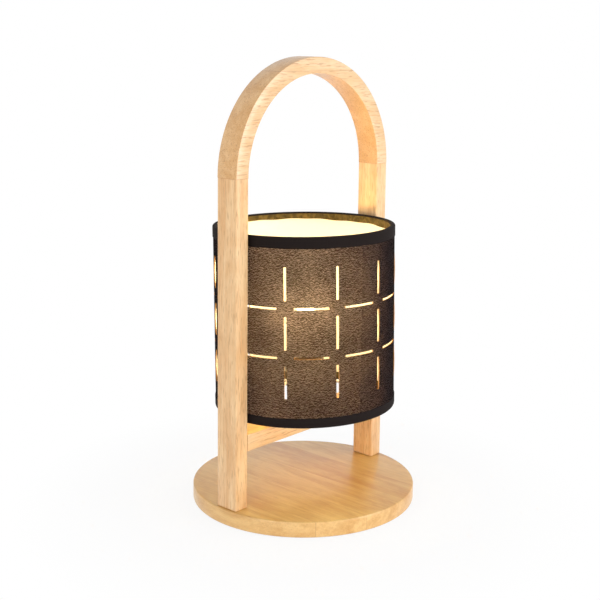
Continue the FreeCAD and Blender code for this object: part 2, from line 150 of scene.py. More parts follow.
class LampShadeSettings(bpy.types.PropertyGroup):
    cloth: colour_property("Cloth", "The cloth by daylight, dense places", tone(60, 49, 52))
    cloth_thin: colour_property("Thin cloth", "The cloth by daylight, thin places", tone(80, 66, 64))
    glow_dark: colour_property("Dense places", "Light that dense cloth lets through", tone(110, 104, 100))
    glow_light: colour_property("Thin places", "Light that thin cloth lets through", tone(255, 253, 250))
    openness: share_property("Openness", "Share of the cloth that light gets through", 0.76)
    forward: share_property("Forward light", "Share of the film that shows the bulb as a soft spot", 0.40)
    cut_edge: colour_property("Cut edge", "The sheet's cut edges in the slits", tone(198, 148, 92))
    thickness_tint: colour_property("Tint", "Colour of the light that gets through", (0.60, 0.563, 0.59, 1))
    thickness_density: FloatProperty(name="Density", description="Absorption in one metre of cloth",
                                     default=3720, min=0)
    liner: colour_property("Liner", "The clear cream film inside the cloth", tone(255, 249, 232))
    tape: colour_property("Tape", "The folded tapes of both rims", tone(17, 8, 6))
    # Painted light: the black tape inside the rims coloured olive brown as the bulb lights it
    bulb_lit_fold: colour_property("Fold", "The tapes' glued side inside the rims", tone(66, 55, 26))
    seam_angle: angle_property("Seam", "Where the sheet overlaps itself", 30.5)
    seam_bay: angle_property("Seam bay", "Angle of the wide bay with the seam", 43.0)
    columns: IntProperty(name="Columns", description="Columns of upright slits", default=11, min=2)
    rows: IntProperty(name="Rows", description="Upright slits in one column", default=3, min=1)
    pitch: length_property("Row pitch", "From one upright slit to the next", 41.8 * MM)
    slit_length: length_property("Slit length", "Length of the upright slits", 28.5 * MM)
    slit_width: length_property("Slit width", "Width of the upright slits", 2.3 * MM)
    cross_length: length_property("Cross slit length", "Length of the level slits", 29.5 * MM)
    cross_width: length_property("Cross slit width", "Width of the level slits", 2.0 * MM)
    lap: length_property("Lap", "Width of the sheet's overlap at its seam", 10 * MM)
    lap_step: length_property("Lap step", "How far the overlap stands out", 0.45 * MM)
    fold_wave: length_property("Fold wave", "How unevenly the tapes are cut inside the rims", 0.5 * MM)
    lean: angle_property("Lean", "How far the sheet and its rims tip back on the fitter", 1.35)
    bow: length_property("Bow", "How far the cloth beside the upright slits bows out", 0.5 * MM)
    loose_column: IntProperty(name="Loose column", default=3,
                              description="The column beside which the cloth bows out most")
    loose_bow: length_property("Loose bow", "How far the cloth beside the loose column bows out", 1.3 * MM)


class LampLightSettings(bpy.types.PropertyGroup):
    colour: colour_property("Light", "Colour of the bulb's light", (1.0, 0.78, 0.42, 1.0))
    filament: colour_property("Filament", "Colour of the glowing filaments", (1.0, 0.80, 0.45, 1.0))
    power: power_property("Power", "Radiant power of the bulb", 0.175)
    glow: FloatProperty(name="Glow", description="Brightness of the filaments", default=30, min=0)


class LampStageSettings(bpy.types.PropertyGroup):
    camera_place: FloatVectorProperty(name="Camera", description="Where the camera stands", size=3,
                                      subtype="TRANSLATION", unit="LENGTH",
                                      default=(-761.24 * MM, -681.03 * MM, 413.93 * MM))
    focal_pixels: FloatProperty(name="Focal length", description="In pixels of the photograph",
                                default=1173.26)
    yaw: angle_property("Yaw", "Turn of the view from +Y to +X", 49.79)
    pitch: angle_property("Pitch", "Tilt of the view, up is positive", -9.48)
    roll: angle_property("Roll", "Lean of the view", 0.98)
    centre_pixels: FloatVectorProperty(name="Centre", size=2, default=(39.1, -68.3),
                                       description="Place of the view's axis from the middle")
    key_power: power_property("Key light", "The large lamp on the right", 16)
    fill_power: power_property("Fill light", "The large lamp on the left", 10.5)
    sky: FloatProperty(name="Sky", description="Light from all round", default=0.5, min=0)


# Modelling steps that several pieces share
def start_clean():
    """Object mode with nothing selected, before a new piece."""
    if bpy.context.object is not None and bpy.context.object.mode != "OBJECT":
        bpy.ops.object.mode_set(mode="OBJECT")
    bpy.ops.object.select_all(action="DESELECT")


def settle(name):
    """Names the active object and puts its place into its mesh."""
    piece = bpy.context.active_object
    piece.name = name
    piece.data.name = name
    bpy.ops.object.transform_apply(location=True, rotation=True, scale=True)
    return piece


def pick(piece):
    """Makes one piece the active one and the only one selected."""
    start_clean()
    bpy.context.view_layer.objects.active = piece
    piece.select_set(True)


def edit(piece):
    """Edit mode on one piece with nothing selected."""
    pick(piece)
    bpy.ops.object.mode_set(mode="EDIT")
    bpy.ops.mesh.select_mode(type="VERT")
    bpy.ops.mesh.select_all(action="DESELECT")


def select_parts(piece, kind, test):
    """In edit mode, selects the faces whose middle, or the edges whose two ends, pass a test."""
    bpy.ops.object.mode_set(mode="OBJECT")
    mesh = piece.data
    for part in [*mesh.vertices, *mesh.edges, *mesh.polygons]:
        part.select = False
    bpy.ops.object.mode_set(mode="EDIT")
    bpy.ops.mesh.select_mode(type=kind)
    bpy.ops.object.mode_set(mode="OBJECT")
    if kind == "FACE":
        for face in mesh.polygons:
            face.select = test(face.center)
    else:
        for edge in mesh.edges:
            ends = [mesh.vertices[index].co for index in edge.vertices]
            edge.select = test(*ends)
    bpy.ops.object.mode_set(mode="EDIT")


def merge_doubles(distance=MM / 1000):
    """In edit mode, selects everything and merges the vertices that lie on each other."""
    bpy.ops.mesh.select_all(action="SELECT")
    bpy.ops.mesh.remove_doubles(threshold=distance)


def tidy_surface():
    """In edit mode, merges doubles and turns the faces outwards, and then leaves edit mode."""
    merge_doubles()
    bpy.ops.mesh.normals_make_consistent(inside=False)
    bpy.ops.object.mode_set(mode="OBJECT")


def finish_modifier(piece, modifier):
    """Applies a modifier to its piece."""
    bpy.context.view_layer.objects.active = piece
    bpy.ops.object.modifier_apply(modifier=modifier.name)


def soften(piece, width, segments=2):
    """Rounds the piece's sharp edges and smooths its round faces."""
    if width:
        modifier = piece.modifiers.new("Soft edges", "BEVEL")
        modifier.width = width
        modifier.segments = segments
        modifier.limit_method = "ANGLE"
        modifier.angle_limit = math.radians(SHARP_EDGE)
        finish_modifier(piece, modifier)
    smooth(piece)


def smooth(piece, angle=SHARP_EDGE):
    """Smooths the shading over all edges that turn by less than an angle in degrees."""
    pick(piece)
    bpy.ops.object.shade_smooth_by_angle(angle=math.radians(angle))


def block(name, low, high):
    """A cube stretched between two corners, as a start."""
    start_clean()
    bpy.ops.mesh.primitive_cube_add(size=1, location=(low + high) / 2, scale=high - low)
    return settle(name)


def bar(name, sides, radius, start, end):
    """A cylinder from one point to another, as a start."""
    start_clean()
    way = end - start
    bpy.ops.mesh.primitive_cylinder_add(vertices=sides, radius=radius, depth=way.length,
                                        location=(start + end) / 2,
                                        rotation=way.to_track_quat("Z", "Y").to_euler())
    return settle(name)


def draw_outline(name, points, closed):
    """A line through points given as radius and height, drawn by extruding one vertex."""
    start_clean()
    bpy.ops.mesh.primitive_plane_add(size=MM, location=(points[0][0], 0, points[0][1]))
    piece = settle(name)
    edit(piece)
    bpy.ops.mesh.select_all(action="SELECT")
    bpy.ops.mesh.merge(type="CENTER")
    here = points[0]
    for there in points[1:] + (points[:1] if closed else []):
        step = (there[0] - here[0], 0, there[1] - here[1])
        bpy.ops.mesh.extrude_region_move(TRANSFORM_OT_translate={"value": step})
        here = there
    merge_doubles()
    return piece


def lathe(name, points, steps=96, closed=False, edge=0.0):
    """A turned piece from its outline. The outline is closed for a ring, or runs from axis to axis."""
    piece = draw_outline(name, points, closed)
    bpy.ops.mesh.select_all(action="SELECT")
    bpy.ops.mesh.spin(steps=steps, angle=2 * math.pi, center=(0, 0, 0), axis=(0, 0, 1))
    tidy_surface()
    soften(piece, edge)
    return piece


def ring(name, inner, outer, low, high, steps, edge=0.0):
    """A turned ring with a square section."""
    corners = [(inner, low), (outer, low), (outer, high), (inner, high)]
    return lathe(name, corners, steps, closed=True, edge=edge)


def arc(centre, radius, start, end, count):
    """Points on an arc, as radius and height, from one angle in degrees to another."""
    points = []
    for index in range(count + 1):
        turn = math.radians(start + (end - start) * index / count)
        points.append((centre[0] + radius * math.cos(turn), centre[1] + radius * math.sin(turn)))
    return points


def screw_thread(name, crest, root, pitch, low, turns):
    """A round ridge that climbs about the axis, closed at both ends."""
    buried = root - (crest - root) / 2
    profile = [(buried, 0.1), (root, 0.15), (crest, 0.38), (crest, 0.62), (root, 0.85), (buried, 0.9)]
    piece = draw_outline(name, [(radius, low + pitch * share) for radius, share in profile], True)
    bpy.ops.object.mode_set(mode="OBJECT")
    modifier = piece.modifiers.new("Turns", "SCREW")
    modifier.axis = "Z"
    modifier.screw_offset = pitch
    modifier.iterations = turns
    modifier.steps = 60
    modifier.render_steps = 60
    finish_modifier(piece, modifier)
    edit(piece)
    bpy.ops.mesh.select_all(action="SELECT")
    bpy.ops.mesh.fill_holes(sides=8)
    tidy_surface()
    smooth(piece, 50)
    return piece


def join(name, *pieces):
    """One piece out of several."""
    pick(pieces[0])
    for piece in pieces:
        piece.select_set(True)
    bpy.ops.object.join()
    pieces[0].name = name
    pieces[0].data.name = name
    return pieces[0]


def fasten(piece, body, slot, material, *nodes):
    """Gives a finished piece its material and its body, and hides the CAD nodes that it stands for; the
    slot is not used.
    """
    if not piece.data.materials:
        piece.data.materials.append(material)
    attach(piece, body)
    if nodes:
        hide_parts(*nodes)


def dress(material, *nodes):
    """A better material for CAD nodes that stay."""
    for node in nodes:
        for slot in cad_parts[node].material_slots:
            slot.material = material


# Node building
def add(tree, kind, inputs=None, **settings):
    """A node with its settings, and with values or links for its inputs."""
    made = tree.nodes.new(kind)
    for key, value in settings.items():
        setattr(made, key, value)
    for key, value in (inputs or {}).items():
        if isinstance(value, bpy.types.NodeSocket):
            tree.links.new(value, made.inputs[key])
        else:
            made.inputs[key].default_value = value
    return made


def math_node(tree, operation, first, second=0.0, third=0.0):
    node = add(tree, "ShaderNodeMath", {0: first, 1: second, 2: third}, operation=operation)
    return node.outputs[0]


def add_vectors(tree, first, second):
    return add(tree, "ShaderNodeVectorMath", {0: first, 1: second}, operation="ADD").outputs[0]


def mix_colour(tree, factor, first, second, blend="MIX"):
    """Two colours mixed; the Mix node's colour sockets have the numbers 6, 7 and 2."""
    node = add(tree, "ShaderNodeMix", {0: factor, 6: first, 7: second}, data_type="RGBA", blend_type=blend)
    return node.outputs[2]


def darken(tree, colour, value):
    """A colour times a value, which may also be a little above 1."""
    grey = add(tree, "ShaderNodeCombineColor", {0: value, 1: value, 2: value}).outputs[0]
    return mix_colour(tree, 1.0, colour, grey, "MULTIPLY")


def ramp(tree, value, low, high, low_out=0.0, high_out=1.0):
    """A value stretched from one range to another and kept inside it."""
    node = add(tree, "ShaderNodeMapRange", {0: value, 1: low, 2: high, 3: low_out, 4: high_out})
    return node.outputs[0]


def new_group(name, inputs, outputs):
    """An empty shader group with named sockets; each is a name, a kind and, for inputs, a default."""
    tree = bpy.data.node_groups.new(name, "ShaderNodeTree")
    for label, kind, default in inputs:
        socket = tree.interface.new_socket(label, in_out="INPUT", socket_type=kind)
        if default is not None:
            socket.default_value = default
    for label, kind in outputs:
        tree.interface.new_socket(label, in_out="OUTPUT", socket_type=kind)
    return tree, tree.nodes.new("NodeGroupInput"), tree.nodes.new("NodeGroupOutput")


groups = {}


def place_group(tree, maker, values):
    """A shader group with its values and links; the group is built the first time that it is asked for."""
    if maker not in groups:
        groups[maker] = maker()
    return add(tree, "ShaderNodeGroup", values, node_tree=groups[maker])


def new_material(name):
    """A material whose tree holds its shader and its output."""
    material = bpy.data.materials.new(name)
    material.use_nodes = True
    tree = material.node_tree
    tree.nodes.clear()
    shader = add(tree, "ShaderNodeBsdfPrincipled")
    add(tree, "ShaderNodeOutputMaterial", {"Surface": shader.outputs[0]})
    return material, tree, shader


def mix_shaders(tree, factor, first, second):
    """Two shaders mixed, each given as its output."""
    return add(tree, "ShaderNodeMixShader", {0: factor, 1: first, 2: second}).outputs[0]


def show(tree, result, socket="Surface"):
    """Links a result to the material's output."""
    tree.links.new(result, tree.get_output_node("ALL").inputs[socket])


def bump(tree, shader, height, strength, distance):
    """Relief from a height, with its depth in metres."""
    node = add(tree, "ShaderNodeBump", {"Strength": strength, "Distance": distance, "Height": height})
    tree.links.new(node.outputs[0], shader.inputs["Normal"])


def stretched_noise(tree, vector, stretch, scale, detail=2.0, roughness=0.5, distortion=0.0):
    """Noise on coordinates that are first stretched along their axes. The scale is in cells per unit."""
    mapping = add(tree, "ShaderNodeMapping", {"Vector": vector, "Scale": stretch})
    node = add(tree, "ShaderNodeTexNoise", {"Vector": mapping.outputs[0], "Scale": scale, "Detail": detail,
                                            "Roughness": roughness, "Distortion": distortion})
    return node.outputs[0]


def even_noise(tree, vector, scale, detail=2.0, roughness=0.5, distortion=0.0):
    """Noise that looks the same in all directions."""
    return stretched_noise(tree, vector, (1, 1, 1), scale, detail, roughness, distortion)


# Shared effects
def wood_group():
    """Pale hardwood with its grain along Z: broad figure, fine fibres and short pores, in millimetres."""
    tree, given, result = new_group(
        "hardwood",
        [("Vector", "NodeSocketVector", None), ("Pale", "NodeSocketColor", UNTINTED),
         ("Tan", "NodeSocketColor", (0.5, 0.3, 0.1, 1)), ("Pore", "NodeSocketColor", (0.2, 0.1, 0.05, 1)),
         ("Tint", "NodeSocketFloat", 0.5), ("Pore amount", "NodeSocketFloat", 0.6)],
        [("Color", "NodeSocketColor"), ("Roughness", "NodeSocketFloat"), ("Height", "NodeSocketFloat")])
    pale, tan, pore = (given.outputs[label] for label in ("Pale", "Tan", "Pore"))
    pore_amount = given.outputs["Pore amount"]
    vector = given.outputs["Vector"]
    broad = stretched_noise(tree, vector, (1, 1, 0.07), 0.09, distortion=0.8)
    streak = stretched_noise(tree, vector, (1, 1, 0.035), 0.45, detail=3, roughness=0.6, distortion=0.3)
    fibre = stretched_noise(tree, vector, (1, 1, 0.05), 2.2, detail=3, roughness=0.65)
    pores = stretched_noise(tree, vector, (1, 1, 0.1), 0.95, detail=1.5, roughness=0.6)
    lines = stretched_noise(tree, vector, (1, 1, 0.025), 1.05, roughness=0.6, distortion=0.4)
    patch = stretched_noise(tree, vector, (1, 1, 0.4), 0.055, detail=3, roughness=0.6, distortion=1.0)
    figure = math_node(tree, "MULTIPLY_ADD", ramp(tree, broad, 0.35, 0.65), 0.45,
                       math_node(tree, "MULTIPLY", ramp(tree, streak, 0.3, 0.7), 0.35))
    stave_tint = math_node(tree, "MULTIPLY_ADD", given.outputs["Tint"], 0.6, -0.2)
    figure = math_node(tree, "ADD", math_node(tree, "ADD", figure, stave_tint),
                       ramp(tree, patch, 0.35, 0.65, -0.22, 0.22))
    colour = mix_colour(tree, ramp(tree, figure, 0.0, 1.0), pale, tan)
    strength = math_node(tree, "MULTIPLY_ADD", pore_amount, 0.8, 0.1)
    lined = math_node(tree, "MULTIPLY", ramp(tree, lines, 0.57, 0.69), strength)
    colour = mix_colour(tree, lined, colour, tan, "MULTIPLY")
    colour = darken(tree, colour, ramp(tree, fibre, 0.3, 0.7, 0.90, 1.06))
    mask = math_node(tree, "MULTIPLY", ramp(tree, pores, 0.58, 0.67), pore_amount)
    colour = mix_colour(tree, mask, colour, pore)
    height = math_node(tree, "MULTIPLY_ADD", mask, -0.4, math_node(tree, "MULTIPLY", fibre, 0.4))
    tree.links.new(colour, result.inputs["Color"])
    tree.links.new(ramp(tree, fibre, 0.2, 0.8, 0.34, 0.46), result.inputs["Roughness"])
    tree.links.new(height, result.inputs["Height"])
    return tree


def stave_group():
    """Edge-glued staves across one coordinate, in millimetres: a tint for each stave and its glue lines."""
    tree, given, result = new_group(
        "staves",
        [("Across", "NodeSocketFloat", 0.0), ("Width", "NodeSocketFloat", 40.0),
         ("Start", "NodeSocketFloat", 0.0), ("Line", "NodeSocketFloat", 0.3)],
        [("Tint", "NodeSocketFloat"), ("Line", "NodeSocketFloat")])
    width = given.outputs["Width"]
    from_start = math_node(tree, "SUBTRACT", given.outputs["Across"], given.outputs["Start"])
    place = math_node(tree, "DIVIDE", from_start, width)
    index = math_node(tree, "FLOOR", place)
    tint = add(tree, "ShaderNodeTexWhiteNoise", {"W": index}, noise_dimensions="1D").outputs[0]
    share = math_node(tree, "SUBTRACT", place, index)
    near = math_node(tree, "MINIMUM", share, math_node(tree, "SUBTRACT", 1.0, share))
    distance = math_node(tree, "MULTIPLY", near, width)
    tree.links.new(tint, result.inputs["Tint"])
    tree.links.new(ramp(tree, distance, 0.0, given.outputs["Line"], 1.0, 0.0), result.inputs["Line"])
    return tree


# Materials
def object_millimetres(tree, turn=(0.0, 0.0, 0.0), shift=(0.0, 0.0, 0.0)):
    """Object coordinates in millimetres, turned and shifted for a piece's own stretch of grain along Z."""
    source = add(tree, "ShaderNodeTexCoord").outputs["Object"]
    scale = (1 / MM, 1 / MM, 1 / MM)
    return add(tree, "ShaderNodeMapping", {"Vector": source, "Rotation": turn, "Scale": scale,
                                           "Location": shift}).outputs[0]


def part_of(tree, vector, axis):
    """One part of a vector: 0, 1 or 2 for X, Y or Z."""
    return add(tree, "ShaderNodeSeparateXYZ", {0: vector}).outputs[axis]


def wood_material(name, turn, shift, pale, tan, pore_amount=0.4, coat=0.35, staves=None, faces=None):
    """Lacquered wood. The staves are an axis, a width and a start in millimetres, or none.

    Faces are an axis, a tint for the faces that look along it and a tint for the others: painted light and
    shade by the way a face looks.
    """
    settings = bpy.context.scene.lamp_wood
    material, tree, shader = new_material(name)
    vector = object_millimetres(tree, turn, shift)
    values = {"Vector": vector, "Pale": pale, "Tan": tan, "Pore": settings.pore, "Pore amount": pore_amount}
    if staves:
        axis, width, start = staves
        across = part_of(tree, object_millimetres(tree), axis)
        strips = place_group(tree, stave_group, {"Across": across, "Width": width, "Start": start,
                                                 "Line": 0.35})
        tint = strips.outputs["Tint"]
        elsewhere = add(tree, "ShaderNodeCombineXYZ", {0: math_node(tree, "MULTIPLY", tint, 300.0),
                                                       1: math_node(tree, "MULTIPLY", tint, 170.0)})
        values["Tint"] = tint
        values["Vector"] = add_vectors(tree, vector, elsewhere.outputs[0])
    grain = place_group(tree, wood_group, values)
    colour = grain.outputs["Color"]
    # Painted light and shade: each face is tinted by the way it looks, as the light falls on it
    if faces:
        axis, along, others = faces
        normal = add(tree, "ShaderNodeTexCoord").outputs["Normal"]
        facing = math_node(tree, "ABSOLUTE", part_of(tree, normal, axis))
        face_light_tint = mix_colour(tree, ramp(tree, facing, 0.4, 0.9), others, along)
        colour = mix_colour(tree, 1.0, colour, face_light_tint, "MULTIPLY")
    if staves:
        glued = math_node(tree, "MULTIPLY", strips.outputs["Line"], 0.45)
        colour = mix_colour(tree, glued, colour, settings.glue)
    tree.links.new(colour, shader.inputs["Base Color"])
    tree.links.new(grain.outputs["Roughness"], shader.inputs["Roughness"])
    shader.inputs["Coat Weight"].default_value = coat
    shader.inputs["Coat Roughness"].default_value = 0.22
    bump(tree, shader, grain.outputs["Height"], 0.25, 0.05 * MM)
    return material


def plain_material(name, colour, roughness, metallic=0.0):
    """Plastic, metal or ceramic with a faint unevenness in colour and surface."""
    material, tree, shader = new_material(name)
    noise = even_noise(tree, object_millimetres(tree), 1.5, detail=3, roughness=0.6)
    uneven_colour = darken(tree, colour, ramp(tree, noise, 0.3, 0.7, 0.96, 1.04))
    uneven_gloss = ramp(tree, noise, 0.3, 0.7, roughness * 0.85, roughness * 1.15)
    tree.links.new(uneven_colour, shader.inputs["Base Color"])
    tree.links.new(uneven_gloss, shader.inputs["Roughness"])
    shader.inputs["Metallic"].default_value = metallic
    bump(tree, shader, noise, 0.2, 0.02 * MM)
    return material


def let_shadow_rays_pass(tree, shader):
    """Mixes in a clear shader for shadow rays, so that the bulb's light gets through."""
    rays = add(tree, "ShaderNodeLightPath")
    clear = add(tree, "ShaderNodeBsdfTransparent")
    show(tree, mix_shaders(tree, rays.outputs["Is Shadow Ray"], shader.outputs[0], clear.outputs[0]))


def sheet_millimetres(tree, length, height):
    """The sheet's own map in millimetres along and up it."""
    source = add(tree, "ShaderNodeTexCoord").outputs["UV"]
    scale = (length / MM, height / MM, 1)
    return add(tree, "ShaderNodeMapping", {"Vector": source, "Scale": scale}).outputs[0]


def attribute(tree, name):
    """A value that the mesh holds for each face."""
    return add(tree, "ShaderNodeAttribute", attribute_name=name).outputs["Fac"]


def cloth_density(tree, vector):
    """How thin crinkled fibre cloth is from place to place, in millimetres along and up the sheet.

    Each crinkle is set off from what lies just above and below it, so that the crinkles run level.
    """
    def crinkles(where):
        return stretched_noise(tree, where, (0.38, 1, 1), 1.45, distortion=1.4)

    crinkle = crinkles(vector)
    for aside in (-0.85, 0.85):
        beside = math_node(tree, "SUBTRACT", 0.5, crinkles(add_vectors(tree, vector, (0, aside, 0))))
        crinkle = math_node(tree, "MULTIPLY_ADD", beside, 0.2, crinkle)
    fibre = stretched_noise(tree, vector, (0.3, 1, 1), 1.9, detail=1, roughness=0.6, distortion=0.8)
    cloud = even_noise(tree, vector, 0.035)
    density = math_node(tree, "MULTIPLY_ADD", crinkle, 0.7, math_node(tree, "MULTIPLY", fibre, 0.3))
    return math_node(tree, "MULTIPLY_ADD", cloud, 0.12, math_node(tree, "SUBTRACT", density, 0.06))


def sheet_material(length, height):
    """The laminated sheet: dark crinkled cloth outside, cream film inside.

    The attribute lining is 0 on the cloth, 0.5 on the cut edges and 1 on the film. The film's back shows
    through the cloth's thin places, dimmer where the eye looks through more cloth.
    """
    settings = bpy.context.scene.lamp_shade
    material, tree, shader = new_material("shade_fabric")
    vector = sheet_millimetres(tree, length, height)
    side = attribute(tree, "lining")
    film = math_node(tree, "GREATER_THAN", side, 0.75)
    cut = math_node(tree, "COMPARE", side, 0.5, 0.2)
    not_film = math_node(tree, "SUBTRACT", 1.0, film)
    density = cloth_density(tree, vector)
    thin = ramp(tree, density, 0.478, 0.572)

    # What shows by daylight
    daylight = mix_colour(tree, thin, settings.cloth, settings.cloth_thin)
    cream = mix_colour(tree, ramp(tree, even_noise(tree, vector, 0.4), 0.3, 0.7, 0.0, 0.06), settings.liner,
                       tone(240, 226, 184))
    colour = mix_colour(tree, film, mix_colour(tree, cut, daylight, settings.cut_edge), cream)
    tree.links.new(colour, shader.inputs["Base Color"])
    tree.links.new(ramp(tree, film, 0.0, 1.0, 0.9, 0.5), shader.inputs["Roughness"])
    shader.inputs["Specular IOR Level"].default_value = 0.2
    bump(tree, shader, math_node(tree, "MULTIPLY", density, not_film), 0.35, 0.15 * MM)

    # What shows through the cloth by the bulb's light
    glow = mix_colour(tree, thin, settings.glow_dark, settings.glow_light)
    through = add(tree, "ShaderNodeBsdfRefraction", {"Color": glow, "Roughness": 0.0, "IOR": 1.0})
    open_share = math_node(tree, "MULTIPLY", math_node(tree, "SUBTRACT", not_film, cut), settings.openness)
    cloth = mix_shaders(tree, open_share, shader.outputs[0], through.outputs[0])
    soft = add(tree, "ShaderNodeBsdfTranslucent", {"Color": cream})
    spot = add(tree, "ShaderNodeBsdfRefraction", {"Color": cream, "Roughness": 1.0, "IOR": 1.5})
    behind = mix_shaders(tree, settings.forward, soft.outputs[0], spot.outputs[0])
    film_back = math_node(tree, "MULTIPLY", film, add(tree, "ShaderNodeNewGeometry").outputs["Backfacing"])
    show(tree, mix_shaders(tree, film_back, cloth, behind))
    inside = add(tree, "ShaderNodeVolumeAbsorption", {"Color": settings.thickness_tint,
                                                      "Density": settings.thickness_density})
    show(tree, inside.outputs[0], "Volume")
    return material


def tape_material():
    """Near-black soft tape. Where the attribute folded is 1, inside the rim, the tape is painted olive
    brown as the bulb lights it: painted light.
    """
    settings = bpy.context.scene.lamp_shade
    material, tree, shader = new_material("edge_tape")
    vector = object_millimetres(tree)
    weave = stretched_noise(tree, vector, (1, 1, 2.5), 1.6, detail=3, roughness=0.7)
    fold_patches = even_noise(tree, vector, 0.22, detail=3, roughness=0.6, distortion=0.5)
    black = mix_colour(tree, ramp(tree, weave, 0.35, 0.65), settings.tape, tone(33, 26, 25))
    # Painted light in uneven patches where the tape is folded inside the rim
    brown = mix_colour(tree, ramp(tree, fold_patches, 0.4, 0.62), settings.bulb_lit_fold, tone(104, 86, 44))
    tree.links.new(mix_colour(tree, attribute(tree, "folded"), black, brown), shader.inputs["Base Color"])
    shader.inputs["Roughness"].default_value = 0.95
    shader.inputs["Specular IOR Level"].default_value = 0.2
    bump(tree, shader, weave, 0.4, 0.08 * MM)
    return material


def glass_material():
    """Clear glass that lets the bulb's own light out."""
    material, tree, shader = new_material("clear_glass")
    shader.inputs["Base Color"].default_value = tone(252, 252, 250)
    shader.inputs["Roughness"].default_value = 0.02
    shader.inputs["IOR"].default_value = 1.45
    shader.inputs["Transmission Weight"].default_value = 1.0
    let_shadow_rays_pass(tree, shader)
    return material


def filament_material():
    """The glowing coat of the filaments, a little uneven."""
    settings = bpy.context.scene.lamp_light
    material, tree, shader = new_material("filament")
    noise = even_noise(tree, object_millimetres(tree), 2.0)
    colour = mix_colour(tree, ramp(tree, noise, 0.3, 0.7), settings.filament, tone(255, 214, 140))
    tree.links.new(colour, shader.inputs["Emission Color"])
    shader.inputs["Base Color"].default_value = tone(250, 200, 90)
    shader.inputs["Emission Strength"].default_value = settings.glow
    let_shadow_rays_pass(tree, shader)
    return material


def felt_material():
    """Matted brown fibres."""
    material, tree, shader = new_material("felt")
    noise = even_noise(tree, object_millimetres(tree), 1.3, detail=4, roughness=0.7, distortion=1.0)
    colour = mix_colour(tree, ramp(tree, noise, 0.3, 0.7), tone(96, 78, 62), tone(128, 106, 86))
    tree.links.new(colour, shader.inputs["Base Color"])
    shader.inputs["Roughness"].default_value = 1.0
    shader.inputs["Sheen Weight"].default_value = 0.3
    bump(tree, shader, noise, 0.6, 0.2 * MM)
    return material


# Stage
def look_matrix(settings):
    """The camera's place and turn from yaw, pitch and roll."""
    ahead = Vector((math.sin(settings.yaw) * math.cos(settings.pitch),
                    math.cos(settings.yaw) * math.cos(settings.pitch), math.sin(settings.pitch)))
    right = Vector((math.cos(settings.yaw), -math.sin(settings.yaw), 0))
    above = right.cross(ahead)
    right_leaned = right * math.cos(settings.roll) + above * math.sin(settings.roll)
    above_leaned = above * math.cos(settings.roll) - right * math.sin(settings.roll)
    turn = Matrix((right_leaned, above_leaned, -ahead)).transposed().to_4x4()
    return Matrix.Translation(settings.camera_place) @ turn


def seen_directly(tree):
    """1 for rays that see the background itself, straight, in a gloss or through glass."""
    rays = add(tree, "ShaderNodeLightPath")
    seen = math_node(tree, "MAXIMUM", rays.outputs["Is Camera Ray"], rays.outputs["Is Glossy Ray"])
    return math_node(tree, "MAXIMUM", seen, rays.outputs["Is Transmission Ray"])


def make_world(sky):
    """An even sky whose own look is plain white."""
    world = bpy.data.worlds.new("studio")
    bpy.context.scene.world = world
    world.use_nodes = True
    tree = world.node_tree
    tree.nodes.clear()
    strength = ramp(tree, seen_directly(tree), 0.0, 1.0, sky, 1.0)
    background = add(tree, "ShaderNodeBackground", {"Color": UNTINTED, "Strength": strength})
    add(tree, "ShaderNodeOutputWorld", {"Surface": background.outputs[0]})


def make_floor():
    """A white floor that keeps the shadow near the lamp and fades into the background away from it."""
    start_clean()
    bpy.ops.mesh.primitive_plane_add(size=8, location=(0, 0, 0))
    floor = settle("floor")
    material, tree, shader = new_material("white_floor")
    shader.inputs["Base Color"].default_value = tone(250, 250, 250)
    shader.inputs["Roughness"].default_value = 0.9
    shader.inputs["Specular IOR Level"].default_value = 0.0
    bright = add(tree, "ShaderNodeEmission", {"Color": UNTINTED, "Strength": 1.0})
    place = add(tree, "ShaderNodeTexCoord").outputs["Object"]
    distance = add(tree, "ShaderNodeVectorMath", {0: place}, operation="LENGTH").outputs["Value"]
    share = ramp(tree, distance, 110 * MM, 260 * MM, 0.89, 1.0)
    factor = math_node(tree, "MULTIPLY", seen_directly(tree), share)
    show(tree, mix_shaders(tree, factor, shader.outputs[0], bright.outputs[0]))
    floor.data.materials.append(material)


def make_lamp(name, place, size, power, colour):
    """A large soft lamp that points at the middle of the object."""
    target = Vector((0, 0, 180 * MM))
    start_clean()
    bpy.ops.object.light_add(type="AREA", location=place)
    lamp = bpy.context.active_object
    lamp.name = name
    lamp.data.shape = "DISK"
    lamp.data.size = size
    lamp.data.energy = power
    lamp.data.color = colour
    lamp.rotation_euler = (target - Vector(place)).to_track_quat("-Z", "Y").to_euler()


def make_camera(settings):
    """The camera, with its lens and shift worked out for a square frame of so many pixels."""
    start_clean()
    bpy.ops.object.camera_add()
    camera = bpy.context.active_object
    camera.name = "photo_camera"
    camera.matrix_world = look_matrix(settings)
    camera.data.sensor_width = SENSOR_WIDTH
    camera.data.lens = settings.focal_pixels * SENSOR_WIDTH / PHOTO_PIXELS
    camera.data.shift_x = -settings.centre_pixels[0] / PHOTO_PIXELS
    camera.data.shift_y = settings.centre_pixels[1] / PHOTO_PIXELS
    camera.data.clip_start = 10 * MM
    bpy.context.scene.camera = camera


class LAMP_OT_stage(bpy.types.Operator):
    """Floor, sky, studio lamps and the camera at the photograph's place."""
    bl_idname = "lamp.stage"
    bl_label = "Stage"

    def execute(self, context):
        settings = context.scene.lamp_stage
        context.scene.view_settings.view_transform = "Standard"
        make_world(settings.sky)
        make_floor()
        make_lamp("key_lamp", (0.5, -1.5, 0.5), 1.0, settings.key_power, (1.0, 0.98, 0.95))
        make_lamp("fill_lamp", (-1.6, -0.3, 0.5), 1.2, settings.fill_power, (1.0, 0.99, 0.97))
        make_camera(settings)
        return {"FINISHED"}


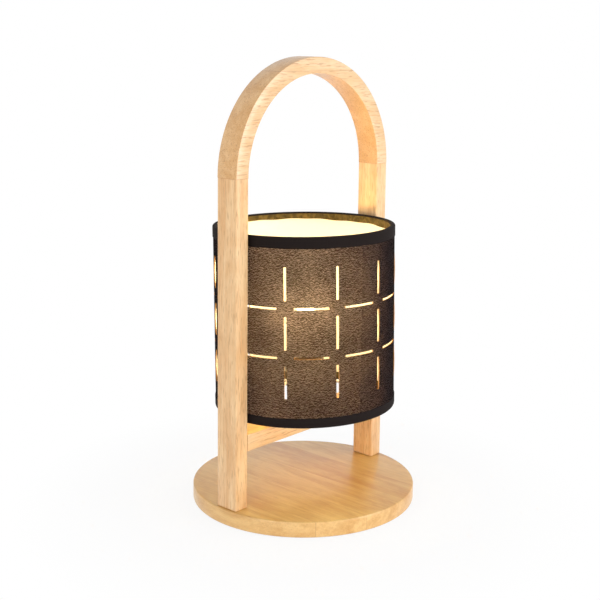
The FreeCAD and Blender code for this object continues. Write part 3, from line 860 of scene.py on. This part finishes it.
# Wooden stand
class LAMP_OT_base(bpy.types.Operator):
    """Round base of edge-glued staves with rounded rims, and the felt under it."""
    bl_idname = "lamp.base"
    bl_label = "Base"

    def execute(self, context):
        settings = context.scene.lamp_wood
        low, high = heights("base_disc")
        base = bar("turned_base", 256, radius_of("base_disc"), Vector((0, 0, low)), Vector((0, 0, high)))
        soften(base, settings.base_edge, segments=3)
        # The tint of the base's upper face is painted shade
        material = wood_material("base_wood", (math.radians(90), 0, 0), (11, 0, 40), settings.base_pale,
                                 settings.base_tan, pore_amount=0.12, coat=0.4,
                                 staves=(0, settings.base_stave / MM, 13.0),
                                 faces=(2, settings.base_top_shade, UNTINTED))
        fasten(base, "stand", "base_wood", material, "base_disc")
        dress(felt_material(), "base_felt")
        return {"FINISHED"}


class LAMP_OT_posts(bpy.types.Operator):
    """The two posts and the crossbar between them."""
    bl_idname = "lamp.posts"
    bl_label = "Posts and crossbar"

    def execute(self, context):
        settings = context.scene.lamp_wood
        self.post("post_left", (0, 0, 0), settings)
        self.post("post_right", (60, 25, 130), settings)
        self.crossbar(settings)
        hidden = wood_material("wood_of_tenons", (0, 0, 0), (9, 70, 12), settings.pale, settings.tan)
        dress(hidden, "arch_tenons")
        return {"FINISHED"}

    def post(self, node, shift, settings):
        """One post, from the base up to its joint with the arch."""
        low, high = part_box(node)
        low.z = heights("base_disc")[1]
        post = block("finished_" + node, low, high)
        edit(post)
        select_parts(post, "EDGE", lambda a, b: min(a.z, b.z) < high.z - NEAR)
        bpy.ops.mesh.bevel(offset=settings.post_edge, segments=3, affect="EDGES")
        select_parts(post, "EDGE", lambda a, b: min(a.z, b.z) > high.z - NEAR)
        bpy.ops.mesh.bevel(offset=settings.joint_groove, segments=1, affect="EDGES")
        tidy_surface()
        smooth(post)
        material = wood_material("wood_of_" + node, (0, 0, 0), shift, settings.pale, settings.tan)
        fasten(post, "stand", "post_wood", material, node)

    def crossbar(self, settings):
        """The crossbar, between the inner faces of the posts."""
        low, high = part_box("crossbar")
        low.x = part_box("post_left")[1].x
        high.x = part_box("post_right")[0].x
        rail = block("finished_crossbar", low, high)
        edit(rail)
        select_parts(rail, "EDGE", lambda a, b: abs(a.x - b.x) > NEAR)
        bpy.ops.mesh.bevel(offset=settings.arch_edge, segments=2, affect="EDGES")
        tidy_surface()
        self.bore(rail, low.z, high.z)
        smooth(rail)
        # The yellow tint of the crossbar's upper and lower face is painted bulb light
        material = wood_material("wood_of_crossbar", (0, math.radians(90), 0), (33, 80, 5), settings.pale,
                                 settings.tan, faces=(2, settings.bar_bulb_light, UNTINTED))
        fasten(rail, "stand", "crossbar_wood", material, "crossbar")

    def bore(self, rail, low, high):
        """Cuts the hole for the threaded tube, and the recess under it for the washer and the nut."""
        recess = radius_of("tube_washer") + 0.35 * MM
        hole = radius_of("threaded_tube") + 0.1 * MM
        step = heights("tube_washer")[1]
        cutter = lathe("recess_cutter", [(0, low - MM), (recess, low - MM), (recess, step), (hole, step),
                                         (hole, high + MM), (0, high + MM)])
        cut = rail.modifiers.new("Recess", "BOOLEAN")
        cut.object = cutter
        cut.operation = "DIFFERENCE"
        finish_modifier(rail, cut)
        bpy.data.objects.remove(cutter)


class LAMP_OT_arch(bpy.types.Operator):
    """The half-ring arch, cut from a panel of level staves."""
    bl_idname = "lamp.arch"
    bl_label = "Arch"

    def execute(self, context):
        settings = context.scene.lamp_wood
        low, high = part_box("arch")
        depth = high.y - low.y
        foot_low, foot_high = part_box("post_right")
        seam = foot_high.z
        start_clean()
        bpy.ops.mesh.primitive_plane_add(size=1, location=((foot_low.x + foot_high.x) / 2, 0, seam))
        bpy.context.active_object.scale = (foot_high.x - foot_low.x, depth, 1)
        arch = settle("finished_arch")
        edit(arch)
        bpy.ops.mesh.select_all(action="SELECT")
        bpy.ops.mesh.spin(steps=96, angle=math.pi, center=(0, 0, seam), axis=(0, 1, 0))
        merge_doubles()
        bpy.ops.mesh.select_all(action="DESELECT")
        bpy.ops.mesh.select_mode(type="EDGE")
        bpy.ops.mesh.select_non_manifold()
        bpy.ops.mesh.fill_holes(sides=4)

        def runs_along_the_curve(a, b):
            reach = math.hypot(a.x, a.z - seam) - math.hypot(b.x, b.z - seam)
            return abs(a.y - b.y) < NEAR and abs(abs(a.y) - depth / 2) < NEAR and abs(reach) < NEAR

        select_parts(arch, "EDGE", runs_along_the_curve)
        bpy.ops.mesh.bevel(offset=settings.arch_edge, segments=2, affect="EDGES")
        tidy_surface()
        smooth(arch)
        stave = settings.arch_stave / MM
        first = seam / MM - 2 * stave
        # The tint of the arch's curved faces is painted shade
        material = wood_material("arch_wood", (0, math.radians(90), 0), (0, 20, 90), settings.arch_pale,
                                 settings.arch_tan, pore_amount=0.45, staves=(2, stave, first),
                                 faces=(1, UNTINTED, settings.arch_curve_shade))
        fasten(arch, "stand", "arch_wood", material, "arch")
        return {"FINISHED"}


# Lampholder and what holds it
class LAMP_OT_mounting(bpy.types.Operator):
    """Threaded tube, washer, nut and cord bush under the crossbar."""
    bl_idname = "lamp.mounting"
    bl_label = "Holder mounting"

    def execute(self, context):
        steel = plain_material("plated_steel", tone(190, 186, 176), 0.35, metallic=1.0)
        black = plain_material("black_bush", tone(34, 33, 33), 0.5)
        outer = radius_of("threaded_tube")
        tube = ring("finished_tube", outer - MM, outer, *heights("threaded_tube"), 64)
        fasten(tube, "stand", "plated_steel", steel, "threaded_tube")
        washer = ring("finished_washer", outer, radius_of("tube_washer"), *heights("tube_washer"), 72,
                      edge=0.15 * MM)
        fasten(washer, "stand", "plated_steel", steel, "tube_washer")
        dress(steel, "tube_nut")
        dress(black, "cord_bush")
        return {"FINISHED"}


class LAMP_OT_holder(bpy.types.Operator):
    """The two-part lampholder with its outside thread, and its inner parts."""
    bl_idname = "lamp.holder"
    bl_label = "Lampholder"

    def execute(self, context):
        black = plain_material("black_plastic", tone(72, 52, 32), 0.25)
        bore = radius_of("holder_insert") + 0.05 * MM
        self.skirt(bore, black)
        self.cap(bore, black)
        dress(plain_material("insulator", tone(226, 222, 210), 0.5), "holder_insert")
        brass = plain_material("brass", tone(214, 176, 96), 0.3, metallic=1.0)
        dress(brass, "centre_contact", "side_contact", "holder_grub_screw")
        return {"FINISHED"}

    def skirt(self, bore, black):
        """The upper part, with a flange under its outside thread."""
        low, high = heights("holder_skirt")
        flange = radius_of("holder_skirt")
        shoulder = low + 4.5 * MM
        points = [(bore, low), (flange, low), (flange, shoulder), (THREAD_ROOT, shoulder),
                  (THREAD_ROOT, high), (bore, high)]
        body = lathe("holder_body", points, 128, closed=True, edge=0.3 * MM)
        ridge = screw_thread("holder_thread", THREAD_CREST, THREAD_ROOT, 3.2 * MM, shoulder + 0.4 * MM, 11)
        fasten(join("finished_skirt", body, ridge), "stand", "black_plastic", black, "holder_skirt")

    def cap(self, bore, black):
        """The lower part, a round-bottomed cup whose thin upper end goes up inside the skirt."""
        low, high = heights("holder_cap")
        outer = radius_of("holder_cap")
        tube = radius_of("threaded_tube") + 0.1 * MM
        foot = 9.5 * MM
        floor = low + 10 * MM
        spigot = bore - 0.1 * MM
        inner = bore - 2 * MM
        skirt_low = heights("holder_skirt")[0]
        curve = arc((foot, floor), outer - foot, -90, 0, 8)
        points = [(tube, low), (foot - MM, low), *curve, (outer, skirt_low), (spigot, skirt_low),
                  (spigot, high), (inner, high), (inner, floor), (tube, floor)]
        cap = lathe("finished_cap", points, closed=True, edge=0.2 * MM)
        fasten(cap, "stand", "black_plastic", black, "holder_cap")


class LAMP_OT_ring_nut(bpy.types.Operator):
    """The ring nut with its finger notches."""
    bl_idname = "lamp.ring_nut"
    bl_label = "Ring nut"

    def execute(self, context):
        outer = radius_of("ring_nut")
        nut = ring("finished_ring_nut", THREAD_CREST + 0.05 * MM, outer, *heights("ring_nut"), 144)
        spacing = math.radians(30)
        half_notch = math.radians(3.8)
        notch_depth = MM

        def in_notch(centre):
            turn = math.atan2(centre.y, centre.x) + spacing / 2
            outside = math.hypot(centre.x, centre.y) > outer - notch_depth / 2
            return outside and abs(turn % spacing - spacing / 2) < half_notch

        edit(nut)
        select_parts(nut, "FACE", in_notch)
        bpy.ops.mesh.inset(thickness=0, use_boundary=False)
        bpy.ops.transform.resize(value=(1 - notch_depth / outer, 1 - notch_depth / outer, 1))
        tidy_surface()
        soften(nut, 0.25 * MM)
        fasten(nut, "ring_nut", "black_plastic", plain_material("ring_nut_plastic", tone(66, 48, 31), 0.3),
               "ring_nut")
        return {"FINISHED"}


# Shade
def slit_pattern(settings, radius, middle):
    """The middles of the upright and of the level slits on the flat sheet: columns, rows, bays and levels.

    Columns and bays lie along the sheet from its middle, which is opposite the seam.
    """
    step = (2 * math.pi - settings.seam_bay) / (settings.columns - 1) * radius
    first = (-math.pi + settings.seam_bay / 2) * radius
    columns = [first + step * index for index in range(settings.columns)]
    bottom = middle - (settings.rows - 1) * settings.pitch / 2
    rows = [bottom + settings.pitch * index for index in range(settings.rows)]
    bays = [column + step / 2 for column in columns[:-1]]
    levels = [row + settings.pitch / 2 for row in rows[:-1]]
    return columns, rows, bays, levels


def cut_lines(places, normal):
    """In edit mode, cuts the flat sheet right across at each place along an axis."""
    for place in places:
        bpy.ops.mesh.select_all(action="SELECT")
        bpy.ops.mesh.bisect(plane_co=[place * part for part in normal], plane_no=normal)


def bow_strips(sheet, columns, rows, settings):
    """Lets the cloth beside each upright slit stand a little out or in, as cut cloth does."""
    reach = 9 * MM
    inwards = -0.4
    for vertex in sheet.data.vertices:
        for index, column in enumerate(columns):
            aside = vertex.co.x - column
            if abs(aside) > reach:
                continue
            loose = index == settings.loose_column
            bow = settings.loose_bow if loose else settings.bow
            if (aside > 0) == loose:
                bow *= inwards
            for row in rows:
                up = (vertex.co.z - row) / (settings.slit_length / 2)
                if abs(up) < 1:
                    vertex.co.y -= bow * (1 - abs(aside) / reach) * math.cos(up * math.pi / 2)


def lean_back(piece):
    """Tips a piece of the shade back about the level of its fitter."""
    lean = bpy.context.scene.lamp_shade.lean
    level = heights("shade_fitter")[1]
    pick(piece)
    piece.rotation_euler = (-lean, 0, 0)
    piece.location = (0, -level * math.sin(lean), level * (1 - math.cos(lean)))
    settle(piece.name)


class LAMP_OT_shade(bpy.types.Operator):
    """The sheet, slit while flat and then rolled up, cloth outside and liner inside."""
    bl_idname = "lamp.shade"
    bl_label = "Shade sheet"

    def execute(self, context):
        settings = context.scene.lamp_shade
        low, high = heights("shade_top_rim", "shade_bottom_rim")
        short_of_the_folds = MM
        height = high - low - 2 * short_of_the_folds
        middle = (low + high) / 2
        radius = radius_of("shade_top_rim") - TAPE_THICKNESS - SHEET_THICKNESS / 2
        length = 2 * math.pi * radius
        start_clean()
        bpy.ops.mesh.primitive_grid_add(x_subdivisions=180, y_subdivisions=1, size=1,
                                        location=(0, 0, middle), rotation=(math.radians(90), 0, 0))
        bpy.context.active_object.scale = (length, height, 1)
        sheet = settle("finished_sheet")
        lap = (-length / 2 + 0.2 * MM, -length / 2 + settings.lap)
        self.cut_slits(sheet, radius, middle, lap, settings)
        sheet.data.materials.append(sheet_material(length, height))
        self.give_wall(sheet, lap, settings.lap_step)
        self.roll_up(sheet, length, radius)
        self.mark_lining(sheet)
        pick(sheet)
        sheet.rotation_euler = (0, 0, settings.seam_angle - math.pi / 2)
        settle("finished_sheet")
        lean_back(sheet)
        smooth(sheet, 40)
        fasten(sheet, "shade", "shade_fabric", None, "shade_sheet")
        return {"FINISHED"}

    def cut_slits(self, sheet, radius, middle, lap, settings):
        """Cuts out the slits, and cuts right across where the lap will stand out."""
        columns, rows, bays, levels = slit_pattern(settings, radius, middle)
        half_width, half_length = settings.slit_width / 2, settings.slit_length / 2
        half_cross_width, half_cross_length = settings.cross_width / 2, settings.cross_length / 2
        across = [column + side * half_width for column in columns for side in (-1, 1)]
        across += [bay + side * half_cross_length for bay in bays for side in (-1, 1)]
        across += [lap[0] + NEAR, lap[1] - NEAR, lap[1] + NEAR]
        upwards = [row + share * half_length for row in rows for share in (-1, 0, 1, -0.5, 0.5)]
        upwards += [level + side * half_cross_width for level in levels for side in (-1, 1)]
        slits = [(column, row, half_width, half_length) for column in columns for row in rows]
        slits += [(bay, level, half_cross_length, half_cross_width) for bay in bays for level in levels]
        edit(sheet)
        cut_lines(across, (1, 0, 0))
        cut_lines(upwards, (0, 0, 1))
        select_parts(sheet, "FACE", lambda centre: any(
            abs(centre.x - along) < half_along and abs(centre.z - up) < half_up
            for along, up, half_along, half_up in slits))
        bpy.ops.mesh.delete(type="FACE")
        bpy.ops.object.mode_set(mode="OBJECT")
        bow_strips(sheet, columns, rows, settings)

    def give_wall(self, sheet, lap, step):
        """Thickens the flat sheet, lets its lap stand out and opens its two ends.

        The cloth, the film and the cut edges get the material slots 0, 1 and 2 for now.
        """
        sheet.data.materials.append(None)
        sheet.data.materials.append(None)
        wall = sheet.modifiers.new("Wall", "SOLIDIFY")
        wall.thickness = SHEET_THICKNESS
        wall.offset = 0
        wall.material_offset = 1
        wall.material_offset_rim = 2
        finish_modifier(sheet, wall)
        end = max(vertex.co.x for vertex in sheet.data.vertices)
        for vertex in sheet.data.vertices:
            if lap[0] < vertex.co.x < lap[1] and vertex.co.y < 0:
                vertex.co.y -= step
        edit(sheet)
        select_parts(sheet, "FACE", lambda centre: abs(centre.x) > end - NEAR / 2)
        bpy.ops.mesh.delete(type="ONLY_FACE")
        bpy.ops.object.mode_set(mode="OBJECT")

    def roll_up(self, sheet, length, radius):
        """Rolls the sheet to a drum about the lamp's axis and joins its ends."""
        roll = sheet.modifiers.new("Roll", "SIMPLE_DEFORM")
        roll.deform_method = "BEND"
        roll.deform_axis = "Z"
        roll.angle = length / radius
        finish_modifier(sheet, roll)
        edit(sheet)
        bpy.ops.mesh.select_all(action="SELECT")
        bpy.ops.transform.translate(value=(0, -radius, 0))
        merge_doubles(MM / 50)
        bpy.ops.mesh.delete_loose(use_verts=True, use_edges=True, use_faces=False)
        bpy.ops.object.mode_set(mode="OBJECT")

    def mark_lining(self, sheet):
        """Puts each face's side of the sheet into the attribute that the material reads."""
        lining = sheet.data.attributes.new("lining", "FLOAT", "FACE")
        for face in sheet.data.polygons:
            lining.data[face.index].value = (0.0, 1.0, 0.5)[face.material_index]
            face.material_index = 0
        while len(sheet.data.materials) > 1:
            sheet.data.materials.pop()


def tape_wave(turn):
    """How far the tape's end strays round the rim, with one place where it hangs out furthest."""
    wave = math.sin(3 * turn + 1) + 0.7 * math.sin(7 * turn) + 0.5 * math.sin(17 * turn + 2)
    off_tongue = (turn + math.radians(28)) / math.radians(22)
    return wave + 3.5 * math.exp(-off_tongue ** 2)


class LAMP_OT_rims(bpy.types.Operator):
    """The tapes folded over the ring wires of both rims."""
    bl_idname = "lamp.rims"
    bl_label = "Taped rims"

    def execute(self, context):
        tape = tape_material()
        for node, inwards in (("shade_top_rim", -1), ("shade_bottom_rim", 1)):
            rim = self.wrapped_rim(node, inwards, context.scene.lamp_shade.fold_wave)
            lean_back(rim)
            smooth(rim, 50)
            fasten(rim, "shade", "edge_tape", tape, node)
        return {"FINISHED"}

    def wrapped_rim(self, node, inwards, stray):
        """The tape from its end on the cloth round the wire to its end inside, both cut unevenly."""
        outer = radius_of(node)
        inner = outer - RIM_DEPTH
        edge, band_end = heights(node)[::inwards]
        fold_end = edge + inwards * 6.5 * MM
        corner = 1.4 * MM
        hollow = corner - TAPE_THICKNESS
        middle = edge + inwards * corner
        quarter = -inwards * 90
        over = arc((outer - corner, middle), corner, 0, quarter, 5)
        over += arc((inner + corner, middle), corner, quarter, 2 * quarter, 5)
        back = arc((inner + corner, middle), hollow, 2 * quarter, quarter, 5)
        back += arc((outer - corner, middle), hollow, quarter, 0, 5)
        points = [(outer, band_end), *over, (inner, fold_end), (inner + TAPE_THICKNESS, fold_end), *back,
                  (outer - TAPE_THICKNESS, band_end)]
        rim = lathe("finished_" + node, points, 180, closed=True)
        for vertex in rim.data.vertices:
            wave = inwards * stray * tape_wave(math.atan2(vertex.co.y, vertex.co.x))
            if abs(vertex.co.z - fold_end) < NEAR:
                vertex.co.z += wave
            elif abs(vertex.co.z - band_end) < NEAR:
                vertex.co.z += wave / 4
        self.mark_bulb_lit_fold(rim, inner, edge)
        return rim

    def mark_bulb_lit_fold(self, rim, inner, edge):
        """Marks the faces inside the rim, apart from those on the wire, where the tape's material paints
        the bulb's light.
        """
        folded = rim.data.attributes.new("folded", "FLOAT", "FACE")
        for face in rim.data.polygons:
            inside = math.hypot(face.center.x, face.center.y) < inner + MM
            off_wire = abs(face.center.z - edge) > 1.2 * MM
            folded.data[face.index].value = 1.0 if inside and off_wire else 0.0


class LAMP_OT_fitter(bpy.types.Operator):
    """The shade's ring and its three wire arms."""
    bl_idname = "lamp.fitter"
    bl_label = "Shade fitter"

    def execute(self, context):
        settings = context.scene.lamp_shade
        low, high = heights("shade_fitter")
        thickness = 1.5 * MM
        wire = 1.3 * MM
        hub = 23 * MM
        rim = radius_of("shade_top_rim") - RIM_DEPTH
        bore = THREAD_CREST + 0.3 * MM
        parts = [ring("fitter_ring", bore, hub, high - thickness, high, 96, edge=0.2 * MM)]
        start = Vector((hub - MM, 0, high - thickness / 2))
        end = Vector((rim + 0.3 * MM, 0, low + wire))
        for index in range(3):
            arm = bar("fitter_arm", 20, wire, start, end)
            arm.rotation_euler = (0, 0, settings.seam_angle + math.radians(30 + 120 * index))
            settle("fitter_arm")
            soften(arm, 0.3 * MM)
            parts.append(arm)
        fitter = join("finished_fitter", *parts)
        fasten(fitter, "shade", "white_wire", plain_material("white_wire", tone(226, 222, 214), 0.4),
               "shade_fitter")
        return {"FINISHED"}


# Bulb
def bulb_line(centre, end, inset):
    """The glass from its crown down to the end of its neck, taken in by a distance."""
    radius = BULB_RADIUS - inset
    neck = 12.4 * MM - inset
    bend = 10 * MM + inset
    drop = math.sqrt((radius + bend) ** 2 - (neck + bend) ** 2)
    lean = math.degrees(math.atan2(-drop, neck + bend))
    points = arc((0, centre), radius, 90, lean, 26)
    points += arc((neck + bend, centre - drop), bend, 180 + lean, 180, 6)[1:]
    return [(0, centre + radius), *points[1:], (neck, end)]


class LAMP_OT_bulb(bpy.types.Operator):
    """The clear bulb: glass, stem, filaments and screw cap, and the light that it gives."""
    bl_idname = "lamp.bulb"
    bl_label = "Bulb"

    def execute(self, context):
        settings = context.scene.lamp_light
        glass = glass_material()
        low, high = heights("bulb_glass")
        centre = high - BULB_RADIUS
        inside = bulb_line(centre, low, 0.8 * MM)
        envelope = lathe("finished_glass", bulb_line(centre, low, 0) + inside[::-1])
        smooth(envelope, 60)
        fasten(envelope, "bulb", "clear_glass", glass, "bulb_glass")
        self.stem(glass)
        self.filaments()
        self.cap()
        self.light(centre, settings)
        dress(plain_material("lead_wire", tone(180, 175, 165), 0.4, metallic=1.0), "bulb_leads")
        dress(plain_material("black_glass", tone(24, 22, 24), 0.12), "bulb_cap_insulator")
        dress(plain_material("solder", tone(176, 176, 178), 0.4, metallic=1.0), "bulb_cap_tip")
        dress(plain_material("board", tone(58, 110, 72), 0.5), "bulb_driver_board")
        return {"FINISHED"}

    def light(self, height, settings):
        """The light that the filaments give, from the middle of the glass."""
        start_clean()
        bpy.ops.object.light_add(type="POINT", location=(0, 0, height))
        light = bpy.context.active_object
        light.name = "bulb_light"
        light.data.energy = settings.power
        light.data.color = settings.colour[:3]
        light.data.shadow_soft_size = FILAMENT_CIRCLE

    def stem(self, glass):
        """The glass tube that holds the leads, with a wide foot and a thin upper part."""
        low, high = heights("bulb_stem")
        foot = radius_of("bulb_stem")
        tube = 3.5 * MM
        thin = 1.5 * MM
        shoulder = heights("bulb_leads")[0] - MM
        curve = arc((foot, low + foot - tube), foot - tube, -90, -180, 8)
        points = [(0, low), *curve, (tube, shoulder - 1.5 * MM), (thin, shoulder),
                  *arc((0, high - thin), thin, 0, 90, 6)]
        stem = lathe("finished_stem", points, 48)
        smooth(stem, 60)
        fasten(stem, "bulb", "clear_glass", glass, "bulb_stem")

    def filaments(self):
        """Four upright rods in a circle."""
        low, high = heights("bulb_filaments")
        rods = []
        for index in range(4):
            turn = math.radians(90 * index - 93.6)
            x, y = FILAMENT_CIRCLE * math.cos(turn), FILAMENT_CIRCLE * math.sin(turn)
            rod = bar("filament_rod", 16, 0.9 * MM, Vector((x, y, low)), Vector((x, y, high)))
            soften(rod, 0.3 * MM)
            rods.append(rod)
        filaments = join("finished_filaments", *rods)
        fasten(filaments, "bulb", "filament", filament_material(), "bulb_filaments")

    def cap(self):
        """The thin metal cap with its screw thread."""
        low, high = heights("bulb_cap")
        crest = radius_of("bulb_cap")
        root = crest - 0.9 * MM
        wall = 0.4 * MM
        foot = radius_of("bulb_cap_insulator") - wall
        points = [(foot, low), (root, low + 1.5 * MM), (root, high - 3 * MM), (crest, high - 2.5 * MM),
                  (crest, high), (crest - wall, high), (root - wall, high - 3 * MM),
                  (root - wall, low + 2 * MM), (foot, low + wall)]
        shell = lathe("cap_shell", points, closed=True)
        ridge = screw_thread("cap_thread", crest, root, 3.62 * MM, low + 2 * MM, 5)
        metal = plain_material("nickel_shell", tone(205, 203, 198), 0.28, metallic=1.0)
        fasten(join("finished_bulb_cap", shell, ridge), "bulb", "nickel_shell", metal, "bulb_cap")


# Panel
SETTINGS = {
    "lamp_stage": LampStageSettings,
    "lamp_wood": LampWoodSettings,
    "lamp_shade": LampShadeSettings,
    "lamp_light": LampLightSettings,
}
STEPS = (LAMP_OT_stage, LAMP_OT_base, LAMP_OT_posts, LAMP_OT_arch, LAMP_OT_mounting, LAMP_OT_holder,
         LAMP_OT_ring_nut, LAMP_OT_shade, LAMP_OT_rims, LAMP_OT_fitter, LAMP_OT_bulb)


class LAMP_PT_panel(bpy.types.Panel):
    """All settings and steps of the lamp."""
    bl_idname = "LAMP_PT_panel"
    bl_label = "Bedside lamp"
    bl_space_type = "VIEW_3D"
    bl_region_type = "UI"
    bl_category = "Lamp"

    def draw(self, context):
        for name, group in SETTINGS.items():
            box = self.layout.box()
            for label in group.__annotations__:
                box.prop(getattr(context.scene, name), label)
        for step in STEPS:
            self.layout.operator(step.bl_idname)


CLASSES = (*SETTINGS.values(), *STEPS, LAMP_PT_panel)


def register():
    """Makes the settings, the steps and the panel known."""
    for entry in CLASSES:
        bpy.utils.register_class(entry)
    for name, group in SETTINGS.items():
        setattr(bpy.types.Scene, name, PointerProperty(type=group))


def unregister():
    """Takes back what register() did."""
    for name in SETTINGS:
        delattr(bpy.types.Scene, name)
    for entry in reversed(CLASSES):
        bpy.utils.unregister_class(entry)


def main():
    """Builds the lamp step by step."""
    register()
    for step in STEPS:
        name = step.bl_idname.removeprefix("lamp.")
        getattr(bpy.ops.lamp, name)()


if __name__ == "__main__":
    main()
